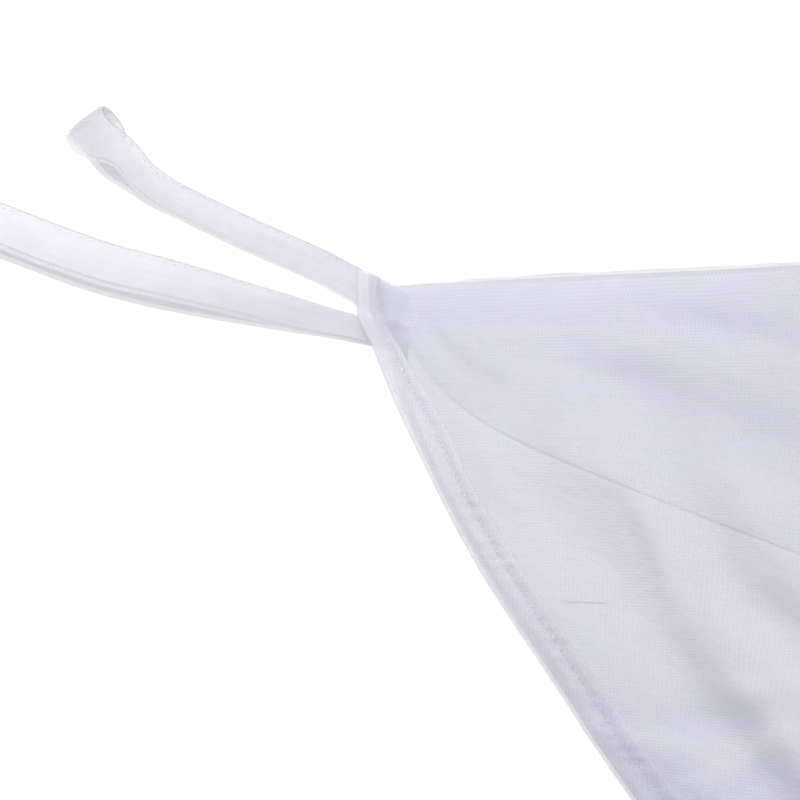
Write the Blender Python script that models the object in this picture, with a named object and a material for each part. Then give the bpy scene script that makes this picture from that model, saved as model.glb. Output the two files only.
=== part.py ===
"""A four-corner mosquito net canopy, hung in the air by the loops at its top corners.

Metres, +Z up. The origin is the centre of the four top corners, and the front is towards -Y. The front-left
corner is open: the two curtains that meet there are drawn away from it and tied. The other two hang shut.
"""
import math
from collections import namedtuple

import bmesh
import bpy
from mathutils import Vector

# Cut sizes of the canopy, and the cloth's thickness.
WIDTH = 1.90
LENGTH = 2.10
DROP = 2.40
SHEET = 0.0012
SEAM_GAP = 0.0004

# How far each top edge hangs below its two corners, and how much slacker the roof's middle is. Beside its corners
# a side edge falls more steeply than its even sag, and that fall fades along the edge and inward over the roof.
SAG_ENDS = 0.060
SAG_SIDES = 0.155
ROOF_BELLY = 0.10
CORNER_FALL = 0.050
CORNER_FALL_REACH = 0.030
CORNER_FALL_FADE = 0.35
CORNER_FALL_INWARD = 0.30
ROOF_STEPS = 16

# Pleats of a drawn curtain. They begin and reach their full depth at these shares of the way to the tie.
PLEATS = 8
STEPS_PER_PLEAT = 4
PLEATS_BEGIN = 0.06
PLEATS_FULL = 0.62
FINE_REACH = 0.25
FINE_SHARE = 4
EDGE_MARGIN = 0.004

# The bundle at the tie, and the tail below it.
BUNDLE_ROUNDNESS = 0.78
BUNDLE_FORMS = (0.50, 0.95)
TAIL_LEAN = 0.020
TAIL_LEAN_REACH = 0.05
TAIL_SPREAD = 0.10
TAIL_OPENS = 0.40
TIE_TILT = 0.045

# Rows of a drawn curtain: shares of the way to the tie, then of the cloth left below it.
SHARES_ABOVE_TIE = (
    0.0, 0.002, 0.018, 0.035, 0.055, 0.075, 0.10, 0.13, 0.19, 0.28, 0.40, 0.54, 0.68, 0.82, 0.94, 0.985, 1.0,
)
SHARES_BELOW_TIE = (0.05, 0.22, 0.45, 0.72, 1.0)

# The leading hem of each drawn curtain, from the open corner to its tie.
HemPoint = namedtuple("HemPoint", "across down")
FRONT_HEM = (
    HemPoint(-0.018, 0.000),
    HemPoint(-0.016, 0.016),
    HemPoint(-0.007, 0.030),
    HemPoint(0.018, 0.072),
    HemPoint(0.056, 0.131),
    HemPoint(0.098, 0.183),
    HemPoint(0.143, 0.236),
    HemPoint(0.300, 0.405),
    HemPoint(0.520, 0.610),
    HemPoint(0.800, 0.830),
    HemPoint(1.100, 1.030),
    HemPoint(1.380, 1.172),
    HemPoint(1.580, 1.255),
    HemPoint(1.645, 1.305),
    HemPoint(1.670, 1.360),
)
LEFT_HEM = (
    HemPoint(0.001, 0.000),
    HemPoint(0.003, 0.028),
    HemPoint(0.024, 0.068),
    HemPoint(0.069, 0.122),
    HemPoint(0.122, 0.176),
    HemPoint(0.184, 0.232),
    HemPoint(0.330, 0.376),
    HemPoint(0.550, 0.560),
    HemPoint(0.820, 0.765),
    HemPoint(1.120, 0.965),
    HemPoint(1.440, 1.145),
    HemPoint(1.655, 1.235),
    HemPoint(1.722, 1.285),
    HemPoint(1.748, 1.340),
)
FRONT_FIXED_PULL = 0.110
LEFT_FIXED_PULL = 0.215

# Folds across the front curtain near the open corner: one long ridge, and the two troughs below it.
Fold = namedtuple("Fold", "across_from down_from across_to down_to height")
FRONT_FOLDS = (
    Fold(0.075, 0.082, 0.300, 0.160, 0.0060),
    Fold(0.150, 0.125, 0.190, 0.260, -0.0048),
    Fold(0.205, 0.150, 0.270, 0.290, -0.0036),
)
FOLD_WIDTH = 0.022

# Closed curtains: waves across the cut width, each as a count, a phase and a depth.
Wave = namedtuple("Wave", "count phase depth")
CLOSED_WAVES = (
    Wave(5.2, 0.6, 0.016),
    Wave(8.7, 2.3, 0.008),
)
CLOSED_STEPS_ACROSS = 26
CLOSED_STEPS_DOWN = 7
WAVES_FULL = 0.8
EDGE_FADE = 0.05

# Ties: a band of doubled net with round corners, clear of the bundle.
TIE_HEIGHT = 0.028
TIE_CLEARANCE = 0.014
TIE_CORNER = 0.040
TIE_STEPS = 28

# The two loops of one corner. A loop's middle line lies in an upright plane, turned by some degrees away from the
# corner's outward diagonal, and is given from the loop's root. Spread is how far each run leaves that line.
LinePoint = namedtuple("LinePoint", "run climb")
Loop = namedtuple("Loop", "name turn root_drop spread spread_from spread_to line")
UPPER_LINE = (
    LinePoint(0.000, 0.0035),
    LinePoint(0.023, 0.018),
    LinePoint(0.064, 0.039),
    LinePoint(0.1075, 0.063),
    LinePoint(0.122, 0.0755),
    LinePoint(0.136, 0.087),
    LinePoint(0.1445, 0.100),
)
LOWER_LINE = (
    LinePoint(0.000, 0.002),
    LinePoint(0.040, 0.0095),
    LinePoint(0.096, 0.0205),
    LinePoint(0.123, 0.0265),
    LinePoint(0.150, 0.035),
    LinePoint(0.177, 0.0445),
)
LOOPS = (
    Loop("upper", -20.0, 0.007, 0.0065, 0.103, 0.175, UPPER_LINE),
    Loop("lower", 12.0, 0.023, 0.0026, 0.020, 0.130, LOWER_LINE),
)
LOOP_STRAP = 0.0155
LOOP_ROOT_GAP = 0.0013
LOOP_ROOT_REACH = 0.0085
LOOP_OPENING = 0.009
LOOP_OPENS = (0.01, 0.11)
LOOP_SLOPE_REACH = 0.004
LOOP_STATIONS = (0.0, 0.02, 0.045, 0.075, 0.10, 0.117, 0.132, 0.148)
LOOP_TURN_STEPS = 6

Corner = namedtuple("Corner", "name x y")
CORNERS = (
    Corner("front_left", -1, -1),
    Corner("front_right", 1, -1),
    Corner("back_left", -1, 1),
    Corner("back_right", 1, 1),
)


def clear_scene():
    for item in list(bpy.data.objects):
        bpy.data.objects.remove(item, do_unlink=True)


def net_material(name, colour):
    material = bpy.data.materials.new(name)
    material.use_nodes = True
    shader = material.node_tree.nodes["Principled BSDF"]
    shader.inputs["Base Color"].default_value = (*colour, 1.0)
    shader.inputs["Roughness"].default_value = 0.9
    shader.inputs["Metallic"].default_value = 0.0
    return material


def ease(value, low, high):
    """0 below low, 1 above high, and a smooth step between."""
    share = min(1.0, max(0.0, (value - low) / (high - low)))
    return share * share * (3.0 - 2.0 * share)


def through(points, share):
    """A point on the smooth curve through the points, at a share of its length."""
    points = [Vector(point) for point in points]
    places = [0.0]
    for before, after in zip(points, points[1:]):
        places.append(places[-1] + (after - before).length)
    place = share * places[-1]
    index = max(i for i in range(len(points) - 1) if places[i] <= place)
    span = places[index + 1] - places[index]
    local = (place - places[index]) / span

    def slope(i):
        low = max(i - 1, 0)
        high = min(i + 1, len(points) - 1)
        return (points[high] - points[low]) / (places[high] - places[low])

    square = local * local
    cube = square * local
    start_part = points[index] * (2 * cube - 3 * square + 1)
    start_part += slope(index) * span * (cube - 2 * square + local)
    end_part = points[index + 1] * (3 * square - 2 * cube)
    end_part += slope(index + 1) * span * (cube - square)
    return start_part + end_part


def even_sag(share, sag):
    """How far an evenly sagging edge hangs below its ends."""
    return 4.0 * sag * share * (1.0 - share)


def corner_fall(share):
    """How much further a side edge hangs beside its nearer corner."""
    distance = min(share, 1.0 - share) * LENGTH
    return CORNER_FALL * (1.0 - math.exp(-distance / CORNER_FALL_REACH)) * math.exp(-distance / CORNER_FALL_FADE)


def end_drop(share):
    """How far the front and back top edges hang below their corners."""
    return even_sag(share, SAG_ENDS)


def side_drop(share):
    """How far the left and right top edges hang below their corners."""
    return even_sag(share, SAG_SIDES) + corner_fall(share)


def finish_sheet(name, builder, material):
    """A cloth object: the builder's middle surface, given its thickness."""
    mesh = bpy.data.meshes.new(name)
    builder.normal_update()
    builder.to_mesh(mesh)
    builder.free()
    mesh.materials.append(material)
    mesh.shade_smooth()
    cloth = bpy.data.objects.new(name, mesh)
    bpy.context.collection.objects.link(cloth)
    thickness = cloth.modifiers.new("Thickness", "SOLIDIFY")
    thickness.thickness = SHEET
    thickness.offset = 0.0
    return cloth


def grid_sheet(name, columns, rows, place, material):
    """A sheet whose grid point (column, row) is moved to place(column, row)."""
    builder = bmesh.new()
    bmesh.ops.create_grid(builder, x_segments=columns, y_segments=rows, size=0.5)
    for point in builder.verts:
        column = round((point.co.x + 0.5) * columns)
        row = round((point.co.y + 0.5) * rows)
        point.co = place(column, row)
    return finish_sheet(name, builder, material)


def ring_band(name, path, straps, strap_width, material):
    """A closed band: the path's points, swept along each one's strap direction."""
    builder = bmesh.new()
    bmesh.ops.create_grid(builder, x_segments=len(path), y_segments=1, size=0.5)
    for point in builder.verts:
        column = round((point.co.x + 0.5) * len(path)) % len(path)
        side = math.copysign(0.5, point.co.y)
        point.co = path[column] + straps[column] * (side * strap_width)
    bmesh.ops.remove_doubles(builder, verts=builder.verts, dist=1e-6)
    bmesh.ops.recalc_face_normals(builder, faces=builder.faces)
    return finish_sheet(name, builder, material)


def front_place(across, down, out):
    """The front curtain's plane, just outside the roof's front edge."""
    return Vector((across - WIDTH / 2, -LENGTH / 2 - SEAM_GAP - SHEET / 2 - out, SHEET / 2 - down))


def left_place(across, down, out):
    """The left curtain's plane, just outside the roof's left edge."""
    return Vector((-WIDTH / 2 - SEAM_GAP - SHEET / 2 - out, across - LENGTH / 2, SHEET / 2 - down))


def back_place(across, down, out):
    """The back curtain's plane."""
    return Vector((WIDTH / 2 - across, LENGTH / 2 + SEAM_GAP + SHEET / 2 + out, SHEET / 2 - down))


def right_place(across, down, out):
    """The right curtain's plane."""
    return Vector((WIDTH / 2 + SEAM_GAP + SHEET / 2 + out, across - LENGTH / 2, SHEET / 2 - down))


def build_roof(material):
    """The roof panel: its edges follow the curtains' top edges, and its middle hangs slack."""

    def place(column, row):
        across = column / ROOF_STEPS
        along = row / ROOF_STEPS
        inward = min(across, 1.0 - across) * WIDTH
        drop = end_drop(across) + even_sag(along, SAG_SIDES)
        drop += corner_fall(along) * math.exp(-inward / CORNER_FALL_INWARD)
        drop += ROOF_BELLY * 16.0 * across * (1.0 - across) * along * (1.0 - along)
        return Vector((across * WIDTH - WIDTH / 2, along * LENGTH - LENGTH / 2, -drop))

    return grid_sheet("roof_panel", ROOF_STEPS, ROOF_STEPS, place, material)


class DrawnCurtain:
    """A curtain drawn from its open corner to a tie near the other corner of the same side.

    Its weft lies straight between the leading hem and the fixed edge, and pleats take up the rest of the
    cut width. Across is measured from the open corner, down from the corners' level, and out from the
    curtain's plane.
    """

    def __init__(self, width, top_drop, hem, fixed_pull, folds=()):
        self.width = width
        self.top_drop = top_drop
        self.hem = hem
        self.folds = folds
        self.tie_lead = Vector(hem[-1])
        self.tie_fixed = Vector((width - fixed_pull, self.tie_lead.y - TIE_TILT))
        self.pleat_quarter = width / (PLEATS * STEPS_PER_PLEAT)

    def thread(self, share_across, share_down):
        """The thread at a share of the cut width, at a share of the way to the tie, and its weft's length."""
        lead = through(self.hem, share_down)
        pull = (self.width - self.tie_fixed.x) * share_down * share_down
        fixed = Vector((self.width - pull, self.tie_fixed.y * share_down))
        point = lead.lerp(fixed, share_across)
        point.y += self.top_drop(share_across) * (1.0 - share_down) ** 2
        return point, (fixed - lead).length

    def length_above_tie(self, share_across):
        points = [self.thread(share_across, share)[0] for share in SHARES_ABOVE_TIE]
        return sum((after - before).length for before, after in zip(points, points[1:]))

    def pleat_side(self, share_across):
        """+1 on a pleat's outer fold, -1 on its inner fold, and a straight run between."""
        phase = (share_across * PLEATS) % 1.0
        if phase < 0.25:
            return 1.0
        if phase < 0.5:
            return 1.0 - 8.0 * (phase - 0.25)
        if phase < 0.75:
            return -1.0
        return 8.0 * (phase - 0.75) - 1.0

    def pleat_depth(self, weft_length, share_across=0.5, tied=1.0):
        """Half the depth that folds the cut width into the weft's length, less at a tied bundle's sides."""
        middle = self.pleat_quarter * math.sqrt(max(0.0, 1.0 - weft_length / self.width))
        side = math.sqrt(1.0 - BUNDLE_ROUNDNESS * (2.0 * share_across - 1.0) ** 2)
        return middle * (1.0 - tied * (1.0 - side))

    def fold_relief(self, point):
        """How far the folds near the open corner stand out of the curtain's plane."""
        total = 0.0
        for fold in self.folds:
            start = Vector((fold.across_from, fold.down_from))
            run = Vector((fold.across_to, fold.down_to)) - start
            share = min(1.0, max(0.0, (point - start).dot(run) / run.length_squared))
            distance = (point - start - run * share).length
            total += fold.height * math.exp(-(distance / FOLD_WIDTH) ** 2)
        return total

    def point_above_tie(self, share_across, row):
        share_down = SHARES_ABOVE_TIE[row]
        point, weft = self.thread(share_across, share_down)
        depth = self.pleat_depth(weft, share_across, ease(share_down, *BUNDLE_FORMS))
        out = self.pleat_side(share_across) * depth * ease(share_down, PLEATS_BEGIN, PLEATS_FULL)
        if row > 1:
            out += self.fold_relief(point)
        return point.x, point.y, out

    def point_below_tie(self, share_across, row):
        tie, weft = self.thread(share_across, 1.0)
        below = SHARES_BELOW_TIE[row] * (DROP - self.length_above_tie(share_across))
        lean = (1.0 - share_across) * TAIL_LEAN * (1.0 - math.exp(-below / TAIL_LEAN_REACH))
        spread = (share_across - 0.5) * TAIL_SPREAD * below
        depth = self.pleat_depth(weft, share_across, 1.0 - ease(below, 0.0, TAIL_OPENS))
        return tie.x + lean + spread, tie.y + below, self.pleat_side(share_across) * depth

    def columns(self):
        """Shares of the cut width: each bend of each pleat, and finer near the open corner."""
        step = 1.0 / (PLEATS * STEPS_PER_PLEAT)
        shares = []
        for index in range(-1, PLEATS * STEPS_PER_PLEAT):
            start = (index + 0.5) * step
            parts = FINE_SHARE if start * self.width < FINE_REACH else 1
            shares.extend(start + step * part / parts for part in range(parts))
        return [0.0] + [share for share in shares if EDGE_MARGIN < share < 1.0 - EDGE_MARGIN] + [1.0]

    def build(self, name, to_world, material):
        columns = self.columns()
        above = len(SHARES_ABOVE_TIE)
        rows = above + len(SHARES_BELOW_TIE) - 1

        def place(column, row):
            if row < above:
                return to_world(*self.point_above_tie(columns[column], row))
            return to_world(*self.point_below_tie(columns[column], row - above))

        return grid_sheet(name, len(columns) - 1, rows, place, material)

    def build_tie(self, name, to_world, material):
        """A band round the bundle, square to its run, with round corners."""
        centre = (self.tie_lead + self.tie_fixed) / 2
        weft = self.tie_fixed - self.tie_lead
        across = weft.normalized()
        half_across = weft.length / 2 + TIE_CLEARANCE
        half_out = self.pleat_depth(weft.length) + TIE_CLEARANCE
        path = []
        for step in range(TIE_STEPS):
            angle = 2 * math.pi * (step + 0.5) / TIE_STEPS
            corner_across = math.copysign(half_across - TIE_CORNER, math.cos(angle))
            corner_out = math.copysign(half_out - TIE_CORNER, math.sin(angle))
            place = centre + across * (corner_across + TIE_CORNER * math.cos(angle))
            path.append(to_world(place.x, place.y, corner_out + TIE_CORNER * math.sin(angle)))
        strap = to_world(-across.y, across.x, 0.0) - to_world(0.0, 0.0, 0.0)
        return ring_band(name, path, [strap] * TIE_STEPS, TIE_HEIGHT, material)


def build_closed_curtain(name, width, top_drop, to_world, material):
    """A curtain that hangs shut: soft upright folds that deepen towards the hem."""

    def place(column, row):
        share_across = column / CLOSED_STEPS_ACROSS
        share_down = row / CLOSED_STEPS_DOWN
        out = 0.0
        for wave in CLOSED_WAVES:
            out += wave.depth * math.sin(2 * math.pi * wave.count * share_across + wave.phase)
        out *= ease(min(share_across, 1.0 - share_across), 0.0, EDGE_FADE) * ease(share_down, 0.0, WAVES_FULL)
        down = top_drop(share_across) + DROP * share_down
        return to_world(share_across * width, down, out)

    return grid_sheet(name, CLOSED_STEPS_ACROSS, CLOSED_STEPS_DOWN, place, material)


def line_length(points):
    """How long a line through the points is, in straight steps."""
    return sum((Vector(after) - Vector(before)).length for before, after in zip(points, points[1:]))


def loop_station(loop, place):
    """Run, climb and slope of a loop's middle line at a place along it, with half its spread and opening."""
    length = line_length(loop.line)
    here = through(loop.line, min(1.0, place / length))
    behind = through(loop.line, max(0.0, (place - LOOP_SLOPE_REACH) / length))
    ahead = through(loop.line, min(1.0, (place + LOOP_SLOPE_REACH) / length))
    slope = math.atan2(ahead.y - behind.y, ahead.x - behind.x)
    half_spread = loop.spread * ease(place, loop.spread_from, loop.spread_to)
    half_opening = LOOP_ROOT_GAP + (LOOP_OPENING - LOOP_ROOT_GAP) * ease(place, *LOOP_OPENS)
    return here.x, here.y, slope, half_spread, half_opening


def build_loop(corner, loop, material):
    """A strip folded into a loop: two runs from the corner, open where the strip turns back."""
    hand = corner.x * corner.y
    heading = math.atan2(corner.y, corner.x) + math.radians(loop.turn) * hand
    outward = Vector((math.cos(heading), math.sin(heading), 0.0))
    sideways = Vector((-outward.y, outward.x, 0.0)) * hand
    diagonal = Vector((corner.x, corner.y, 0.0)).normalized()
    root = Vector((corner.x * WIDTH / 2, corner.y * LENGTH / 2, -loop.root_drop)) + diagonal * LOOP_ROOT_REACH

    turn_start = line_length(loop.line) - LOOP_OPENING
    stations = LOOP_STATIONS + (turn_start,)
    outline = [(place, 1.0) for place in stations]
    for step in range(1, LOOP_TURN_STEPS):
        angle = math.pi * step / LOOP_TURN_STEPS
        outline.append((turn_start + LOOP_OPENING * math.sin(angle), math.cos(angle)))
    outline += [(place, -1.0) for place in reversed(stations)]

    path = []
    straps = []
    for place, side in outline:
        run, climb, slope, half_spread, half_opening = loop_station(loop, place)
        square = Vector((0.0, 0.0, math.cos(slope))) - outward * math.sin(slope)
        apart = square * (half_spread * side) + sideways * (half_opening * side)
        path.append(root + outward * run + Vector((0.0, 0.0, climb)) + apart)
        straps.append(square)
    return ring_band(f"loop_{loop.name}_{corner.name}", path, straps, LOOP_STRAP, material)


def main():
    clear_scene()
    net = net_material("white_net", (0.78, 0.78, 0.84))
    doubled_net = net_material("doubled_white_net", (0.82, 0.82, 0.88))
    build_roof(net)
    front = DrawnCurtain(WIDTH, end_drop, FRONT_HEM, FRONT_FIXED_PULL, FRONT_FOLDS)
    front.build("curtain_front", front_place, net)
    front.build_tie("tie_front", front_place, doubled_net)
    left = DrawnCurtain(LENGTH, side_drop, LEFT_HEM, LEFT_FIXED_PULL)
    left.build("curtain_left", left_place, net)
    left.build_tie("tie_left", left_place, doubled_net)
    build_closed_curtain("curtain_back", WIDTH, end_drop, back_place, net)
    build_closed_curtain("curtain_right", LENGTH, side_drop, right_place, net)
    for corner in CORNERS:
        for loop in LOOPS:
            build_loop(corner, loop, doubled_net)


main()
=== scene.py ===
import math
from collections import namedtuple

import bmesh
import bpy
from mathutils import Matrix, Vector, noise


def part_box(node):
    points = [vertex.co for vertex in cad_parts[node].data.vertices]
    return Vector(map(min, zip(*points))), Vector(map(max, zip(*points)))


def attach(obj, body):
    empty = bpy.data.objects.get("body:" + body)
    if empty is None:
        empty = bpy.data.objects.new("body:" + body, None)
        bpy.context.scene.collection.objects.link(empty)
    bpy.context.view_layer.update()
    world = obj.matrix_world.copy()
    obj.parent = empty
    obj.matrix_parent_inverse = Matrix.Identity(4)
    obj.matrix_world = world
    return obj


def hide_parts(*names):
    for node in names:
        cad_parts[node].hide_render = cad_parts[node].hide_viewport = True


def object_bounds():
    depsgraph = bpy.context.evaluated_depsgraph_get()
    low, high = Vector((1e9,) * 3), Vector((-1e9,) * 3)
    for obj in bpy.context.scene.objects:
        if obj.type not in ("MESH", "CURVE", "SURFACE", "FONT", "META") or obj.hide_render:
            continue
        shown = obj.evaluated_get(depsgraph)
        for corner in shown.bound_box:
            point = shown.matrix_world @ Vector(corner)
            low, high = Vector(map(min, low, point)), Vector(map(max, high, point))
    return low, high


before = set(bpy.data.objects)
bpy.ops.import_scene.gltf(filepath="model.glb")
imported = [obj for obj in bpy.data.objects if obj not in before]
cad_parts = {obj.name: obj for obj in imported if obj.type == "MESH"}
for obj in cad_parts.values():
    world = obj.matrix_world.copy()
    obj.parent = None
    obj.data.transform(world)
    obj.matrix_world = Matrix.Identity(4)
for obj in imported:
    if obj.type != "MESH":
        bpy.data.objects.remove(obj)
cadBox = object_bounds()
print("frame loaded:", len(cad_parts), "solids")


# Small helpers

def ease(value, low, high):  # 0 below low, 1 above high, smooth between
    share = min(1.0, max(0.0, (value - low) / (high - low)))
    return share * share * (3.0 - 2.0 * share)


def steps(low, high, count):
    return [low + (high - low) * index / count for index in range(count + 1)]


def linearColour(hexCode):  # sRGB hex to linear
    channels = [int(hexCode[place:place + 2], 16) / 255 for place in (1, 3, 5)]
    return [c / 12.92 if c <= 0.04045 else ((c + 0.055) / 1.055) ** 2.4 for c in channels] + [1.0]


def addNode(tree, kind, sockets=None, **settings):  # sockets: a value, or the output that feeds the input
    node = tree.nodes.new("ShaderNode" + kind)
    for name, value in settings.items():
        setattr(node, name, value)
    for name, value in (sockets or {}).items():
        if isinstance(value, bpy.types.NodeSocket):
            tree.links.new(value, node.inputs[name])
        else:
            node.inputs[name].default_value = value
    return node


class SmoothCurve:  # a smooth curve through points, read at a share of its length
    def __init__(self, points):
        self.points = [Vector(point) for point in points]
        self.places = [0.0]
        for before, after in zip(self.points, self.points[1:]):
            self.places.append(self.places[-1] + (after - before).length)
        self.length = self.places[-1]

    def slope(self, index):
        low = max(index - 1, 0)
        high = min(index + 1, len(self.points) - 1)
        return (self.points[high] - self.points[low]) / (self.places[high] - self.places[low])

    def at(self, share):
        place = share * self.length
        if place < 0.0:
            return self.points[0] + self.slope(0) * place
        index = max(i for i in range(len(self.points) - 1) if self.places[i] <= place)
        span = self.places[index + 1] - self.places[index]
        local = (place - self.places[index]) / span
        square, cube = local * local, local ** 3
        point = self.points[index] * (2 * cube - 3 * square + 1)
        point += self.points[index + 1] * (3 * square - 2 * cube)
        point += self.slope(index) * span * (cube - 2 * square + local)
        point += self.slope(index + 1) * span * (cube - square)
        return point


# Materials. Knitted polyester net: fine matt white threads round open six-sided cells. What lies behind shows
# through it, and each further layer hides more. Light from behind passes through the threads too.

netWeave = {
    "pitchMm": 2.0,            # from the middle of one cell to the next
    "threadShare": 0.30,       # thread width as a share of the pitch
    "threadSoftness": 0.30,
    "cellCover": 0.52,         # the share of an open cell that loose filaments fill
    "threadCover": 0.575,
    "patchCover": 0.035,       # how much the cover changes over streaks and patches
    "streakAcrossMm": 40.0,
    "streakDownMm": 3.0,
    "patchMm": 18.0,
    "unevenMm": 0.35,          # how far the cells wander
    "wanderMm": 11.0,
    "coolThread": "#E2E4F1",
    "warmThread": "#E6E3F1",
    "tintMm": 26.0,
    "threadBumpMm": 0.22,
    "crinkleMm": 14.0,
    "crinkleBumpMm": 0.9,
    "glow": 0.38,              # share of the light that comes through from behind
    "gatherAndShadeCover": 0.0,        # more cover, so a darker net, from this far down the cloth: partly the cloth running together towards its tie, partly painted shade
    "gatherAndShadeFromMm": 110,
    "gatherAndShadeToMm": 380,
    "creaseCover": 0.20,       # how much denser the cloth is at the bottom of its deeper creases
    # painted shade: the colour is darkened by this share in the deeper creases, and lightened a little on
    # ridges as painted light
    "creaseShade": 0.08,
    "bandMm": 0.0,             # where a hem's colour is darkened as painted shade along its stitches, where it is drawn together; from its folded edge
    "bandShade": 0.0,
    "bandReachMm": (2.0, 6.5),
}
usualNoise = (0.35, 0.65)      # most of a noise texture lies between these
frontWeave = dict(netWeave, gatherAndShadeCover=0.46, gatherAndShadeFromMm=150, gatherAndShadeToMm=310)
roofWeave = dict(netWeave, cellCover=0.63, threadCover=0.70)  # its seams draw the roof net together
leftWeave = dict(netWeave, coolThread="#ECE9E9", warmThread="#EFEAE9", gatherAndShadeCover=0.10)
lengthwise = {"streakAcrossMm": 3.0, "streakDownMm": 40.0}

# The hems are the same net in several layers, and each layer covers less. Their threads are painted whiter
# than the net's, as painted light for the light that passes between the layers; near its upper end a hem is
# darkened as painted shade.
hemPaintedLightAndShade = {"coolThread": "#FAFAFF", "warmThread": "#FCFAFF", "patchCover": 0.08, "creaseShade": 0.12}
# painted shade along the hems' stitch band
hemBand = {"bandMm": 17.5, "bandShade": 0.06}
hemWeave = dict(netWeave, cellCover=0.40, threadCover=0.46, **hemPaintedLightAndShade, **hemBand, **lengthwise)

# The straps are doubled net of finer cells: they look smooth, and light comes through them. Their threads are
# painted lighter than the net's, as painted light.
strapPaintedLightTones = {"coolThread": "#ECECF1", "warmThread": "#EEECF2", "glow": 0.46}
strapRelief = {"threadBumpMm": 0.06, "crinkleMm": 7.0, "crinkleBumpMm": 0.5}
strapMesh = {"pitchMm": 1.5, "cellCover": 0.54, "threadCover": 0.575}
strapWeave = dict(netWeave, **strapMesh, **strapPaintedLightTones, **strapRelief, **lengthwise)
# The top seams take the straps' threads, painted lighter as painted light.
seamWeave = dict(strapWeave, cellCover=0.72, threadCover=0.76)


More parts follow.
